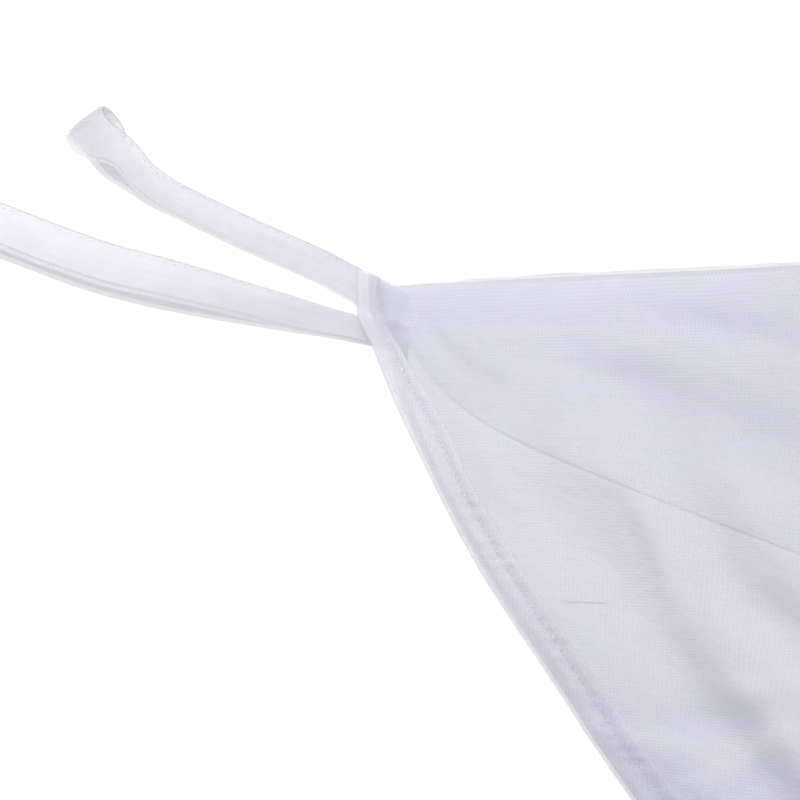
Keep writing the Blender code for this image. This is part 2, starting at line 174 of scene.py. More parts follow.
def makeNet(name, weave):
    material = bpy.data.materials.new(name)
    material.use_nodes = True
    tree = material.node_tree
    shader = tree.nodes["Principled BSDF"]
    cells = 1000 / weave["pitchMm"]  # cells in a metre of the cloth's own map
    cloth = addNode(tree, "UVMap", uv_map="cloth").outputs[0]
    wander = addNode(tree, "TexNoise", {"Vector": cloth, "Scale": 1000 / weave["wanderMm"], "Detail": 1.0})
    aroundMiddle = {0: wander.outputs["Color"], 1: (0.5, 0.5, 0.5)}
    centred = addNode(tree, "VectorMath", aroundMiddle, operation="SUBTRACT").outputs[0]
    reach = weave["unevenMm"] / 1000 * 4  # the noise seldom strays more than a quarter from its middle
    shift = addNode(tree, "VectorMath", {0: centred, "Scale": reach}, operation="SCALE")
    moved = addNode(tree, "VectorMath", {0: cloth, 1: shift.outputs[0]}, operation="ADD")
    scaled = addNode(tree, "Mapping", {"Vector": moved.outputs[0], "Scale": (cells, cells, 0.0)}).outputs[0]

    # Two staggered grids of cell middles: the nearer one gives the place inside a six-sided cell.
    corner = (0.5, math.sqrt(3) / 2, 0.0)
    half = (corner[0], corner[1], 1.0)
    low = tuple(-value for value in half)
    first = addNode(tree, "VectorMath", {0: scaled, 1: half, 2: low}, operation="WRAP").outputs[0]
    stagger = addNode(tree, "VectorMath", {0: scaled, 1: corner}, operation="ADD").outputs[0]
    second = addNode(tree, "VectorMath", {0: stagger, 1: half, 2: low}, operation="WRAP").outputs[0]
    firstReach = addNode(tree, "VectorMath", {0: first}, operation="LENGTH").outputs["Value"]
    secondReach = addNode(tree, "VectorMath", {0: second}, operation="LENGTH").outputs["Value"]
    nearer = addNode(tree, "Math", {0: secondReach, 1: firstReach}, operation="LESS_THAN").outputs[0]
    inside = addNode(tree, "Mix", {0: nearer, 4: first, 5: second}, data_type="VECTOR").outputs[1]
    size = addNode(tree, "VectorMath", {0: inside}, operation="ABSOLUTE").outputs[0]
    slanted = addNode(tree, "VectorMath", {0: size, 1: corner}, operation="DOT_PRODUCT").outputs["Value"]
    upright = addNode(tree, "SeparateXYZ", {0: size}).outputs[0]
    edge = addNode(tree, "Math", {0: slanted, 1: upright}, operation="MAXIMUM").outputs[0]
    middle = 0.5 - weave["threadShare"] / 2
    soft = weave["threadSoftness"] / 2
    limits = {0: edge, 1: middle - soft, 2: middle + soft}
    thread = addNode(tree, "MapRange", limits, interpolation_type="SMOOTHSTEP").outputs[0]

    # The cover is thicker in some streaks and patches of the knitting than in others.
    scale = (1000 / weave["streakAcrossMm"], 1000 / weave["streakDownMm"], 0.0)
    streakPlace = addNode(tree, "Mapping", {"Vector": cloth, "Scale": scale}).outputs[0]
    streaks = addNode(tree, "TexNoise", {"Vector": streakPlace, "Scale": 1.0, "Detail": 1.0}).outputs["Fac"]
    scale = 1000 / weave["patchMm"]
    patches = addNode(tree, "TexNoise", {"Vector": cloth, "Scale": scale, "Detail": 3.0}).outputs["Fac"]
    both = addNode(tree, "Math", {0: streaks, 1: patches}, operation="ADD").outputs[0]
    change = weave["patchCover"]
    limits = {0: both, 1: 2 * usualNoise[0], 2: 2 * usualNoise[1], 3: -change, 4: change}
    extra = addNode(tree, "MapRange", limits).outputs[0]
    plain = addNode(tree, "MapRange", {0: thread, 3: weave["cellCover"], 4: weave["threadCover"]}).outputs[0]
    across, down = addNode(tree, "SeparateXYZ", {0: cloth}).outputs[:2]
    # More cover further down the cloth: partly its gathering towards the tie, partly painted shade.
    shadeAndGatherFrom, shadeAndGatherTo = weave["gatherAndShadeFromMm"] / 1000, weave["gatherAndShadeToMm"] / 1000
    limits = {0: down, 1: shadeAndGatherFrom, 2: shadeAndGatherTo, 4: weave["gatherAndShadeCover"]}
    gathered = addNode(tree, "MapRange", limits, interpolation_type="SMOOTHSTEP").outputs[0]
    cover = addNode(tree, "Math", {0: plain, 1: extra}, operation="ADD").outputs[0]
    cover = addNode(tree, "Math", {0: cover, 1: gathered}, operation="ADD").outputs[0]
    crease = addNode(tree, "Attribute", attribute_name="crease").outputs["Fac"]
    denser = {0: crease, 1: weave["creaseCover"], 2: cover}
    cover = addNode(tree, "Math", denser, operation="MULTIPLY_ADD", use_clamp=True).outputs[0]

    scale = 1000 / weave["tintMm"]
    tint = addNode(tree, "TexNoise", {"Vector": cloth, "Scale": scale, "Detail": 2.0}).outputs["Fac"]
    tint = addNode(tree, "MapRange", {0: tint, 1: usualNoise[0], 2: usualNoise[1]}).outputs[0]
    tones = {0: tint, 6: linearColour(weave["coolThread"]), 7: linearColour(weave["warmThread"])}
    colour = addNode(tree, "Mix", tones, data_type="RGBA").outputs[2]
    # Painted shade along a hem's stitch band, where its puckers would shade it.
    aside = addNode(tree, "Math", {0: across}, operation="ABSOLUTE").outputs[0]
    aside = addNode(tree, "Math", {0: aside, 1: weave["bandMm"] / 1000}, operation="SUBTRACT").outputs[0]
    aside = addNode(tree, "Math", {0: aside}, operation="ABSOLUTE").outputs[0]
    near, far = [reach / 1000 for reach in weave["bandReachMm"]]
    limits = {0: aside, 1: near, 2: far, 3: weave["bandShade"], 4: 0.0}
    band = addNode(tree, "MapRange", limits, interpolation_type="SMOOTHSTEP").outputs[0]
    # Painted shade: the colour is darkened in the creases and along a hem's stitch band, and lightened a
    # little on ridges as painted light.
    shade = {0: crease, 1: weave["creaseShade"], 2: band}
    shade = addNode(tree, "Math", shade, operation="MULTIPLY_ADD").outputs[0]
    kept = addNode(tree, "Math", {0: 1.0, 1: shade}, operation="SUBTRACT").outputs[0]
    colour = addNode(tree, "VectorMath", {0: colour, "Scale": kept}, operation="SCALE").outputs[0]

    scale = 1000 / weave["crinkleMm"]
    crinkle = addNode(tree, "TexNoise", {"Vector": cloth, "Scale": scale, "Detail": 2.0}).outputs["Fac"]
    bump = addNode(tree, "Bump", {"Height": crinkle, "Distance": weave["crinkleBumpMm"] / 1000})
    relief = {"Height": thread, "Distance": weave["threadBumpMm"] / 1000, "Strength": 0.5}
    normal = addNode(tree, "Bump", dict(relief, Normal=bump.outputs[0])).outputs[0]
    tree.links.new(colour, shader.inputs["Base Color"])
    tree.links.new(normal, shader.inputs["Normal"])
    shader.inputs["Roughness"].default_value = 0.62
    shader.inputs["IOR"].default_value = 1.57
    shader.inputs["Specular IOR Level"].default_value = 0.3
    shader.inputs["Sheen Weight"].default_value = 0.15

    through = addNode(tree, "BsdfTranslucent", {"Color": colour, "Normal": normal}).outputs[0]
    threads = addNode(tree, "MixShader", {0: weave["glow"], 1: shader.outputs[0], 2: through}).outputs[0]
    holes = addNode(tree, "BsdfTransparent").outputs[0]
    net = addNode(tree, "MixShader", {0: cover, 1: holes, 2: threads}).outputs[0]
    tree.links.new(net, tree.nodes["Material Output"].inputs["Surface"])
    return material


sewingThread = {"twistMm": 0.4, "roughness": 0.45}


def makeThread(name, tone, lightTone):  # twisted polyester sewing thread, a little shiny
    material = bpy.data.materials.new(name)
    material.use_nodes = True
    tree = material.node_tree
    shader = tree.nodes["Principled BSDF"]
    where = addNode(tree, "TexCoord").outputs["Object"]
    scale = 1000 / sewingThread["twistMm"]
    twist = addNode(tree, "TexNoise", {"Vector": where, "Scale": scale, "Detail": 1.0}).outputs["Fac"]
    tones = {0: twist, 6: linearColour(tone), 7: linearColour(lightTone)}
    colour = addNode(tree, "Mix", tones, data_type="RGBA").outputs[2]
    tree.links.new(colour, shader.inputs["Base Color"])
    shader.inputs["Roughness"].default_value = sewingThread["roughness"]
    return material


netCloth = makeNet("knitted_net", netWeave)
roofCloth = makeNet("knitted_roof_net", roofWeave)
frontCloth = makeNet("knitted_front_net", frontWeave)
leftCloth = makeNet("knitted_left_net", leftWeave)
hemCloth = makeNet("hem_net", hemWeave)
strapCloth = makeNet("strap_net", strapWeave)
seamCloth = makeNet("seam_net", seamWeave)
hemThread = makeThread("white_thread", "#D9D8E8", "#E6E5F1")
# The strap stitches' grey tone is painted shade, for the shadow where they pull into the net.
shadeGreyThread = makeThread("grey_white_thread", "#C9C7DA", "#D4D2E2")
print("materials ready")


# Making cloth from a grid

def clothGrid(name, columns, rows, place, material, closed=False, creaseAt=None):
    # place(column, row) gives a point and its (u, v) in the cloth's own map.
    # creaseAt(column, row) tells how deep a crease is there.
    builder = bmesh.new()
    bmesh.ops.create_grid(builder, x_segments=columns, y_segments=rows, size=0.5)
    cloth = builder.loops.layers.uv.new("cloth")
    crease = builder.verts.layers.float.new("crease")
    spots = {}
    for point in builder.verts:
        column = round((point.co.x + 0.5) * columns)
        row = round((point.co.y + 0.5) * rows)
        point.co, spots[point.index] = place(column, row)
        point[crease] = creaseAt(column, row) if creaseAt else 0.0
    for face in builder.faces:
        for corner in face.loops:
            corner[cloth].uv = spots[corner.vert.index]
    if closed:
        bmesh.ops.remove_doubles(builder, verts=builder.verts, dist=1e-6)
    builder.normal_update()
    return finishPiece(name, builder, material)


def finishPiece(name, builder, material):
    mesh = bpy.data.meshes.new(name)
    builder.to_mesh(mesh)
    builder.free()
    mesh.materials.append(material)
    mesh.shade_smooth()
    piece = bpy.data.objects.new(name, mesh)
    bpy.context.collection.objects.link(piece)
    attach(piece, "root")
    return piece


def surfaceNormal(surface, across, down):  # steps stay inside the cloth
    reach = 0.002
    across = min(max(across, surface.lowAcross + reach), surface.cut - reach)
    down = min(max(down, reach), surface.lastDown - reach)
    sideways = surface.at(across + reach, down) - surface.at(across - reach, down)
    downwards = surface.at(across, down + reach) - surface.at(across, down - reach)
    return downwards.cross(sideways).normalized()


def spacedPlaces(total, fineReach, fineStep, coarseStep):  # close together at first, wider further on
    fine = steps(0.0, fineReach, round(fineReach / fineStep))
    return fine + steps(fineReach, total, round((total - fineReach) / coarseStep))[1:]


def makeCurtain(name, surface, columns, downs, node, material=netCloth):
    points = [[surface.at(across, down) for across in columns] for down in downs]
    runs = [[0.0] * len(columns)]
    for above, below in zip(points, points[1:]):
        runs.append([run + (b - a).length for run, a, b in zip(runs[-1], above, below)])

    def place(column, row):
        return points[row][column], (columns[column], runs[row][column])

    def creaseAt(column, row):
        return surface.creaseAt(columns[column], downs[row])

    creases = creaseAt if hasattr(surface, "creaseAt") else None
    piece = clothGrid(name, len(columns) - 1, len(downs) - 1, place, material, creaseAt=creases)
    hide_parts(node)
    return piece


# Hems: the cloth's edge is folded twice and sewn down. Inset is the share of the hem's width from its folded
# edge, and lift is how far a layer stands off the cloth's own surface.

HemSide = namedtuple("HemSide", "inset lift")
doubleFold = [HemSide(*side) for side in (
    (1.00, 0.0003), (0.88, 0.0012), (0.78, 0.0009), (0.72, 0.0006), (0.64, 0.0010), (0.50, 0.0017),
    (0.34, 0.0019), (0.18, 0.0015), (0.06, 0.0009), (0.00, 0.0000), (0.06, -0.0009), (0.18, -0.0015),
    (0.34, -0.0017), (0.50, -0.0015), (0.64, -0.0010), (0.72, -0.0006), (0.80, -0.0009), (0.96, -0.0012),
    (0.99, -0.0007), (0.90, -0.0004), (0.78, -0.0005), (0.72, -0.0001), (0.60, -0.0005),
)]
hemSewing = {
    "stitchInset": 0.72,
    "seamEnds": (0.01, 1.99),
    "seamLift": 0.0009,
    "seamSamples": 1400,
    "puckers": 0.00035,
    "puckerSpacing": 0.0085,
    "puckerReach": 0.24,
    "puckerWander": 7.0,
    "leastPucker": 0.15,
    "wanderScale": 45.0,       # per metre along the hem
    "fineScale": 130.0,
    "rootReach": 0.035,
}
leadHem = {
    "width": 0.0225,
    "puckers": 1.0,
    "topShare": 0.68,          # it is narrower where it is pulled up to the corner
    "widens": (0.020, 0.075),
    "edgeGap": 0.0030,         # the cloth inside the fold stops short of its edge
    "slopeReach": 0.004,
    "leastSlant": 0.6,
    "slants": (0.25, 0.5),     # further down, its slant no longer counts
}
bottomHem = {"width": 0.016, "puckers": 0.3}
sideHem = {"width": 0.010, "puckers": 0.3}


def makeHem(name, surface, stations, hem, where):  # where(station, inset) -> across, down
    run = [0.0]
    edge = [surface.at(*where(station, 0.0)) for station in stations]
    for before, after in zip(edge, edge[1:]):
        run.append(run[-1] + (after - before).length)
    folded = max(range(len(doubleFold)), key=lambda index: -doubleFold[index].inset)

    def place(column, row):
        side, station = doubleFold[column], stations[row]
        across, down = where(station, side.inset)
        uneven = noise.noise(Vector((run[row] * hemSewing["wanderScale"], 3.0, surface.seed)))
        turn = 2 * math.pi * run[row] / hemSewing["puckerSpacing"] + hemSewing["puckerWander"] * uneven
        fine = noise.noise(Vector((run[row] * hemSewing["fineScale"], side.inset * 1.6, surface.seed)))
        wave = math.sin(turn + 4 * side.inset) + fine
        pinch = math.exp(-((side.inset - hemSewing["stitchInset"]) / hemSewing["puckerReach"]) ** 2)
        pinch *= 0.0 if column == folded else max(hemSewing["leastPucker"], 0.7 + 1.6 * uneven)
        lift = side.lift + hemSewing["puckers"] * hem["puckers"] * wave * pinch
        point = surface.at(across, down) + surfaceNormal(surface, across, down) * lift
        flat = hem["width"] * (side.inset if column < folded else -side.inset)
        return point, (flat, run[row])

    def creaseAt(column, row):  # most drawn together at its upper end, where the net is denser and darkened as painted shade
        return math.exp(-(run[row] / hemSewing["rootReach"]) ** 2)

    return clothGrid(name, len(doubleFold) - 1, len(stations) - 1, place, hemCloth, creaseAt=creaseAt)


stitch = {"spacing": 0.0036, "length": 0.0022, "thickness": 0.00032}


def makeStitches(name, rows, thread, length=stitch["length"]):  # rows of places, each with its normal
    builder = bmesh.new()
    for spots in rows:
        for (here, normal), (ahead, _) in zip(spots, spots[1:]):
            along = (ahead - here).normalized()
            square = normal.cross(along).normalized()
            turn = Matrix((along, square, along.cross(square))).transposed().to_4x4()
            size = Matrix.Diagonal((length / 2, stitch["thickness"] / 2, stitch["thickness"] / 2, 1.0))
            place = Matrix.Translation(here) @ turn @ size
            bmesh.ops.create_icosphere(builder, subdivisions=1, radius=1.0, matrix=place)
    return finishPiece(name, builder, thread)


def alongSurface(surface, acrossAt, ends, lift, spacing):  # evenly spaced places down a surface
    samples = []
    for down in steps(*ends, hemSewing["seamSamples"]):
        across = acrossAt(down)
        samples.append((down, across, surface.at(across, down)))
    spots, gone = [], 0.0
    for (_, _, before), (down, across, here) in zip(samples, samples[1:]):
        gone += (here - before).length
        if gone >= spacing:
            gone -= spacing
            normal = surfaceNormal(surface, across, down)
            spots.append((here + normal * lift, normal))
    return spots


# The canopy's own sizes come from the frame. The hang of each piece follows the solids.

roofLow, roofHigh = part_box("roof_panel")
width = roofHigh.x - roofLow.x
length = roofHigh.y - roofLow.y
canopy = {
    "drop": 2.40,
    "sagEnds": 0.060,
    "sagSides": 0.155,
    "cornerFall": 0.050,        # a side edge first falls steeply beside its corners
    "cornerFallReach": 0.030,
    "cornerFallFade": 0.35,
    "cornerFallInward": 0.30,
    "frontWander": 0.0013,      # the front seam isn't quite even
    "frontWanderSpan": 0.20,
    "frontWanderFade": 0.60,
    "frontWanderInward": 0.05,
    "roofBelly": 0.10,
    "cornerFolds": 0.0035,
    "cornerFoldCount": 9,
    "cornerFoldGrows": 0.10,
    "cornerFoldReach": 0.22,
    "seamGap": 0.0010,
    "seamReach": 0.004,
}


def evenSag(share, sag):
    return 4.0 * sag * share * (1.0 - share)


def cornerFall(share):
    distance = min(share, 1.0 - share) * length
    near = 1.0 - math.exp(-distance / canopy["cornerFallReach"])
    return canopy["cornerFall"] * near * math.exp(-distance / canopy["cornerFallFade"])


def frontWander(share):
    distance = share * width
    wave = math.sin(math.pi * distance / canopy["frontWanderSpan"])
    return canopy["frontWander"] * wave * math.exp(-distance / canopy["frontWanderFade"])


def backDrop(share):
    return evenSag(share, canopy["sagEnds"])


def frontDrop(share):
    return backDrop(share) - frontWander(share)


def sideDrop(share):
    return evenSag(share, canopy["sagSides"]) + cornerFall(share)


def joinedIn(down):  # a curtain's top edge is sewn to the roof's own edge
    return canopy["seamGap"] * (1.0 - ease(down, 0.0, canopy["seamReach"]))


def frontPlace(across, down, out):
    return Vector((across - width / 2, -length / 2 - canopy["seamGap"] - out, -down))


def leftPlace(across, down, out):
    return Vector((-width / 2 - canopy["seamGap"] - out, across - length / 2, -down))


def backPlace(across, down, out):
    return Vector((width / 2 - across, length / 2 + canopy["seamGap"] + out, -down))


def rightPlace(across, down, out):
    return Vector((width / 2 + canopy["seamGap"] + out, across - length / 2, -down))


# Drawn curtains

Crease = namedtuple("Crease", "height spread path")  # a trough where the height is negative

frontCurtain = {
    "topDrop": frontDrop,
    "wrap": 0.014,             # the hem is folded round the roots of the loops at its top
    "wrapRise": 0.006,
    "fixedPull": 0.110,
    "tieTilt": 0.045,
    "hem": (  # across and down along its folded edge, from the corner to the tie
        (-0.018, 0.000), (-0.016, 0.016), (-0.007, 0.030), (0.018, 0.072), (0.056, 0.131), (0.098, 0.183),
        (0.143, 0.236), (0.300, 0.405), (0.520, 0.610), (0.800, 0.830), (1.100, 1.030), (1.380, 1.172),
        (1.580, 1.255), (1.645, 1.305), (1.670, 1.360),
    ),
    "creases": (
        Crease(0.0060, 0.022, ((0.075, 0.082), (0.300, 0.160))),
        Crease(-0.0018, 0.020, ((0.150, 0.125), (0.190, 0.260))),
        Crease(-0.0006, 0.020, ((0.205, 0.150), (0.270, 0.290))),
        Crease(-0.0034, 0.012, ((0.110, 0.047), (0.168, 0.071), (0.198, 0.085), (0.250, 0.113))),
        Crease(-0.0022, 0.008, ((0.150, 0.032), (0.204, 0.049), (0.250, 0.066))),
        Crease(-0.0026, 0.007, ((0.124, 0.106), (0.146, 0.115), (0.151, 0.126), (0.160, 0.150))),
        Crease(-0.0017, 0.008, ((0.192, 0.135), (0.197, 0.147), (0.206, 0.158), (0.240, 0.171))),
        Crease(-0.0013, 0.011, ((0.150, 0.204), (0.240, 0.202))),
        Crease(0.0018, 0.006, ((0.190, 0.193), (0.240, 0.194))),
        Crease(0.0016, 0.006, ((0.120, 0.205), (0.150, 0.213), (0.190, 0.217))),
        Crease(0.0018, 0.006, ((0.180, 0.230), (0.235, 0.208))),
        Crease(-0.0010, 0.004, ((0.011, 0.004), (0.060, 0.009), (0.117, 0.015))),
        Crease(-0.0010, 0.004, ((0.011, 0.014), (0.073, 0.027), (0.130, 0.035))),
        Crease(-0.0010, 0.005, ((0.122, 0.057), (0.124, 0.094))),
        Crease(0.0012, 0.006, ((0.055, 0.073), (0.073, 0.093), (0.096, 0.125))),
        Crease(-0.0012, 0.005, ((0.012, 0.010), (0.040, 0.035), (0.075, 0.060))),
    ),
}
leftCurtain = {
    "topDrop": sideDrop,
    "wrap": 0.0,
    "wrapRise": 0.0,
    "fixedPull": 0.215,
    "tieTilt": 0.045,
    "hem": (
        (0.001, 0.000), (0.003, 0.028), (0.025, 0.068), (0.073, 0.122), (0.128, 0.176), (0.190, 0.232),
        (0.330, 0.376), (0.550, 0.560), (0.820, 0.765), (1.120, 0.965), (1.440, 1.145), (1.655, 1.235),
        (1.722, 1.285), (1.748, 1.340),
    ),
    "creases": (
        Crease(0.0030, 0.018, ((0.090, 0.105), (0.330, 0.160))),
        Crease(-0.0030, 0.018, ((0.170, 0.170), (0.260, 0.300))),
        Crease(-0.0020, 0.008, ((0.220, 0.110), (0.250, 0.150), (0.320, 0.185))),
    ),
}
pleats = {
    "count": 8,
    "begin": 0.06,
    "full": 0.62,
    "roundness": 0.78,
    "bundleForms": (0.50, 0.95),
    "tailLean": 0.020,
    "tailLeanReach": 0.05,
    "tailSpread": 0.10,
    "tailOpens": 0.40,
    "gathers": 3,          # small folds in each pleat, which take up the rest of the cloth
    "uneven": 0.16,
    "creasesEnd": 0.35,
    "creasesAcross": 0.45,
    "creaseFade": (0.12, 0.76),
    "deepCrease": 0.0026,
    "broadSpread": 0.015,
    "broadCreases": 0.25,      # how much the broad folds count as creases
    "shallowest": -0.25,
}
wrapReach = {"from": -0.018, "across": 0.022, "down": (0.030, 0.075), "rise": (0.0, 0.020)}


class DrawnSurface:
    # Across runs over the cut width from the open corner.
    # Down is 0 at the top edge, 1 at the tie and 2 at the hem.
    lowAcross, lastDown = 0.0, 2.0

    def __init__(self, cut, settings, toWorld, seed):
        self.cut = cut
        self.settings = settings
        self.toWorld = toWorld
        self.seed = seed
        self.lead = SmoothCurve(settings["hem"])
        self.tieLead = Vector(settings["hem"][-1])
        self.tieFixed = Vector((cut - settings["fixedPull"], self.tieLead.y - settings["tieTilt"]))
        self.quarter = cut / (pleats["count"] * 4)
        self.creases = [(crease, SmoothCurve(crease.path).length) for crease in settings["creases"]]
        self.rows = {}
        self.lengths = {}

    def row(self, share):  # the ends of one weft thread above the tie
        if share not in self.rows:
            pull = (self.cut - self.tieFixed.x) * share * share
            fixed = Vector((self.cut - pull, self.tieFixed.y * share))
            lead = self.lead.at(share)
            self.rows[share] = lead, fixed, (fixed - lead).length
        return self.rows[share]

    def thread(self, part, share):
        lead, fixed, weft = self.row(share)
        point = lead.lerp(fixed, part)
        point.y += self.settings["topDrop"](part) * (1.0 - share) ** 2
        return point, weft

    def lengthAboveTie(self, part):
        key = round(part, 4)
        if key not in self.lengths:
            points = [self.thread(part, share)[0] for share in steps(0.0, 1.0, 16)]
            self.lengths[key] = sum((after - before).length for before, after in zip(points, points[1:]))
        return self.lengths[key]

    def uneven(self, part, share, scale):
        return noise.noise(Vector((part * scale, share * 2.2, self.seed)))

    def side(self, part):  # +1 on a pleat's outer fold, -1 on its inner one
        turn = 2 * math.pi * (part * pleats["count"] + 0.125)
        return math.tanh(2.0 * math.sin(turn)) / math.tanh(2.0)

    def folds(self, part, share, weft, tied):
        side = math.sqrt(1.0 - pleats["roundness"] * (2.0 * part - 1.0) ** 2)
        depth = self.quarter * math.sqrt(max(0.0, 1.0 - weft / self.cut)) * (1.0 - tied * (1.0 - side))
        depth *= 1.0 - pleats["uneven"] * (0.5 + self.uneven(part, share, 9.0))
        grown = ease(share, pleats["begin"], pleats["full"]) if share < 1.0 else 1.0
        out = self.side(part) * depth * grown
        # What the pleats don't take up yet lies in small gathers between them.
        period = weft / pleats["count"]
        taken = period / 2 + 2 * math.hypot(period / 4, 2 * depth * grown)
        spare = max(0.0, self.cut / pleats["count"] / taken - 1.0)
        gather = period / (math.pi * pleats["gathers"]) * math.sqrt(spare)
        turn = 2 * math.pi * pleats["gathers"] * pleats["count"] * part + 5.0 * self.uneven(part, share, 4.0)
        return out + 0.8 * gather * math.sin(turn) * (0.7 + self.uneven(part, share, 14.0))

    def relief(self, point, broadShare=1.0):
        total = 0.0
        for crease, creaseLength in self.creases:
            nearest, gone, share = 9.0, 0.0, 0.0
            for start, end in zip(crease.path, crease.path[1:]):
                runX, runY = end[0] - start[0], end[1] - start[1]
                span = math.hypot(runX, runY)
                local = ((point.x - start[0]) * runX + (point.y - start[1]) * runY) / span ** 2
                local = min(1.0, max(0.0, local))
                distance = math.hypot(point.x - start[0] - runX * local, point.y - start[1] - runY * local)
                if distance < nearest:
                    nearest, share = distance, (gone + span * local) / creaseLength
                gone += span
            reach = nearest / crease.spread
            if reach < 3.0:
                start, span = pleats["creaseFade"]
                fade = math.sin(math.pi * (start + span * share))
                if crease.spread > pleats["broadSpread"]:
                    fade = broadShare
                total += crease.height * fade * math.exp(-reach * reach)
        return total

    # The net's material darkens the cloth here as painted shade in the creases, and lightens it a little on
    # ridges as painted light.
    def creaseAt(self, across, down):  # 1 in the deeper creases, and below 0 on ridges
        point = self.thread(across / self.cut, down)[0]
        if down >= pleats["creasesEnd"] or point.x >= pleats["creasesAcross"]:
            return 0.0
        depth = -self.relief(point, pleats["broadCreases"]) / pleats["deepCrease"]
        return min(1.0, max(pleats["shallowest"], depth))

    def at(self, across, down):
        part = across / self.cut
        if down <= 1.0:
            point, weft = self.thread(part, down)
            out = self.folds(part, down, weft, ease(down, *pleats["bundleForms"])) - joinedIn(down)
            if down < pleats["creasesEnd"] and point.x < pleats["creasesAcross"]:
                out += self.relief(point) * ease(down, 0.0, 0.01)
            near = math.exp(-(max(0.0, point.x - wrapReach["from"]) / wrapReach["across"]) ** 2)
            near *= 1.0 - ease(point.y, *wrapReach["down"])
            wrap = self.settings["wrap"] * near
            rise = self.settings["wrapRise"] * near * (1.0 - ease(point.y, *wrapReach["rise"]))
            return self.toWorld(point.x + wrap, point.y - rise, out + wrap)
        tie, weft = self.thread(part, 1.0)
        below = (down - 1.0) * (canopy["drop"] - self.lengthAboveTie(part))
        lean = (1.0 - part) * pleats["tailLean"] * (1.0 - math.exp(-below / pleats["tailLeanReach"]))
        spread = (part - 0.5) * pleats["tailSpread"] * below
        out = self.folds(part, down, weft, 1.0 - ease(below, 0.0, pleats["tailOpens"]))
        return self.toWorld(tie.x + lean + spread, tie.y + below, out)


outwardFront = Vector((0.0, -1.0, 0.0))
pulledThread = {"spots": ((0.052, 0.0795), (0.074, 0.0795)), "length": 0.028, "lift": 0.0006}
finePart = 0.13                # the share of the way down to the tie that is modelled finely
drawnGrid = {"fineReach": 0.27, "fineStep": 0.003, "coarseStep": 0.012}


def leadWidth(surface, down):  # measured across the cloth, so that the hem keeps its width square to its edge
    if down >= leadHem["slants"][1]:
        return leadHem["width"]
    reach = leadHem["slopeReach"]
    lead, fixed, weft = surface.row(down)
    ahead = surface.lead.at(down + reach) - surface.lead.at(max(0.0, down - reach))
    square = max(math.sin(ahead.angle(fixed - lead)), leadHem["leastSlant"])
    slant = 1.0 / square * surface.cut / weft
    narrow = leadHem["topShare"] + (1.0 - leadHem["topShare"]) * ease(lead.y, *leadHem["widens"])
    return leadHem["width"] * narrow * (1.0 + (slant - 1.0) * (1.0 - ease(down, *leadHem["slants"])))


def makeDrawnCurtain(name, cut, settings, toWorld, seed, material):
    surface = DrawnSurface(cut, settings, toWorld, seed)
    downs = steps(0.0, finePart, 92) + steps(finePart, 1.0, 92)[1:] + steps(1.0, 2.0, 44)[1:]
    places = spacedPlaces(cut - leadHem["edgeGap"], **drawnGrid)
    columns = [leadHem["edgeGap"] + place for place in places]
    cloth = makeCurtain(f"{name}_net", surface, columns, downs, f"curtain_{name}", material)

    def leadWhere(down, inset):
        return inset * leadWidth(surface, down), down

    def bottomWhere(across, inset):
        tail = canopy["drop"] - surface.lengthAboveTie(across / cut)
        return across, 2.0 - inset * bottomHem["width"] / tail

    def sideWhere(down, inset):
        return cut - inset * sideHem["width"], down

    def seamAcross(down):
        return hemSewing["stitchInset"] * leadWidth(surface, down)

    leadDowns = steps(0.0, finePart, 200) + steps(finePart, 1.0, 300)[1:] + steps(1.0, 2.0, 120)[1:]
    lead = makeHem(f"{name}_lead_hem", surface, leadDowns, leadHem, leadWhere)
    bottom = makeHem(f"{name}_bottom_hem", surface, steps(0.0, cut, 260), bottomHem, bottomWhere)
    side = makeHem(f"{name}_side_hem", surface, downs[::2], sideHem, sideWhere)
    line = alongSurface(surface, seamAcross, hemSewing["seamEnds"], hemSewing["seamLift"], stitch["spacing"])
    seam = makeStitches(f"{name}_hem_stitches", [line], hemThread)
    if name == "front":  # one thicker thread is pulled in the weft, in the grey thread whose tone is painted shade
        lift = outwardFront * pulledThread["lift"]
        spots = [(surface.at(*spot) + lift, outwardFront) for spot in pulledThread["spots"]]
        makeStitches("pulled_thread", [spots], shadeGreyThread, pulledThread["length"])
    print(name, "curtain ready")
    return surface


front = makeDrawnCurtain("front", width, frontCurtain, frontPlace, 1.5, frontCloth)
left = makeDrawnCurtain("left", length, leftCurtain, leftPlace, 7.5, leftCloth)


# Closed curtains

Wave = namedtuple("Wave", "count phase depth")
closedFolds = {
    "waves": (Wave(5.2, 0.6, 0.016), Wave(8.7, 2.3, 0.008), Wave(19.3, 1.1, 0.0030), Wave(33.0, 4.2, 0.0014)),
    "wanderCount": 10,          # waves more numerous than this wander
    "full": 0.8,
    "edgeFade": 0.05,
}


class ClosedSurface:  # across the cut width, and down from 0 at the top edge to 1 at the hem
    lowAcross, lastDown = 0.0, 1.0

    def __init__(self, cut, topDrop, toWorld, seed):
        self.cut, self.topDrop, self.toWorld, self.seed = cut, topDrop, toWorld, seed

    def at(self, across, down):
        part = across / self.cut
        wander = 1.5 * noise.noise(Vector((part * 3.0, down * 1.5, self.seed)))
        out = 0.0
        for wave in closedFolds["waves"]:
            turn = 2 * math.pi * wave.count * part + wave.phase
            out += wave.depth * math.sin(turn + (wander if wave.count > closedFolds["wanderCount"] else 0.0))
        out *= ease(min(part, 1.0 - part), 0.0, closedFolds["edgeFade"])
        out *= ease(down, 0.0, closedFolds["full"])
        return self.toWorld(across, self.topDrop(part) + canopy["drop"] * down, out - joinedIn(down))


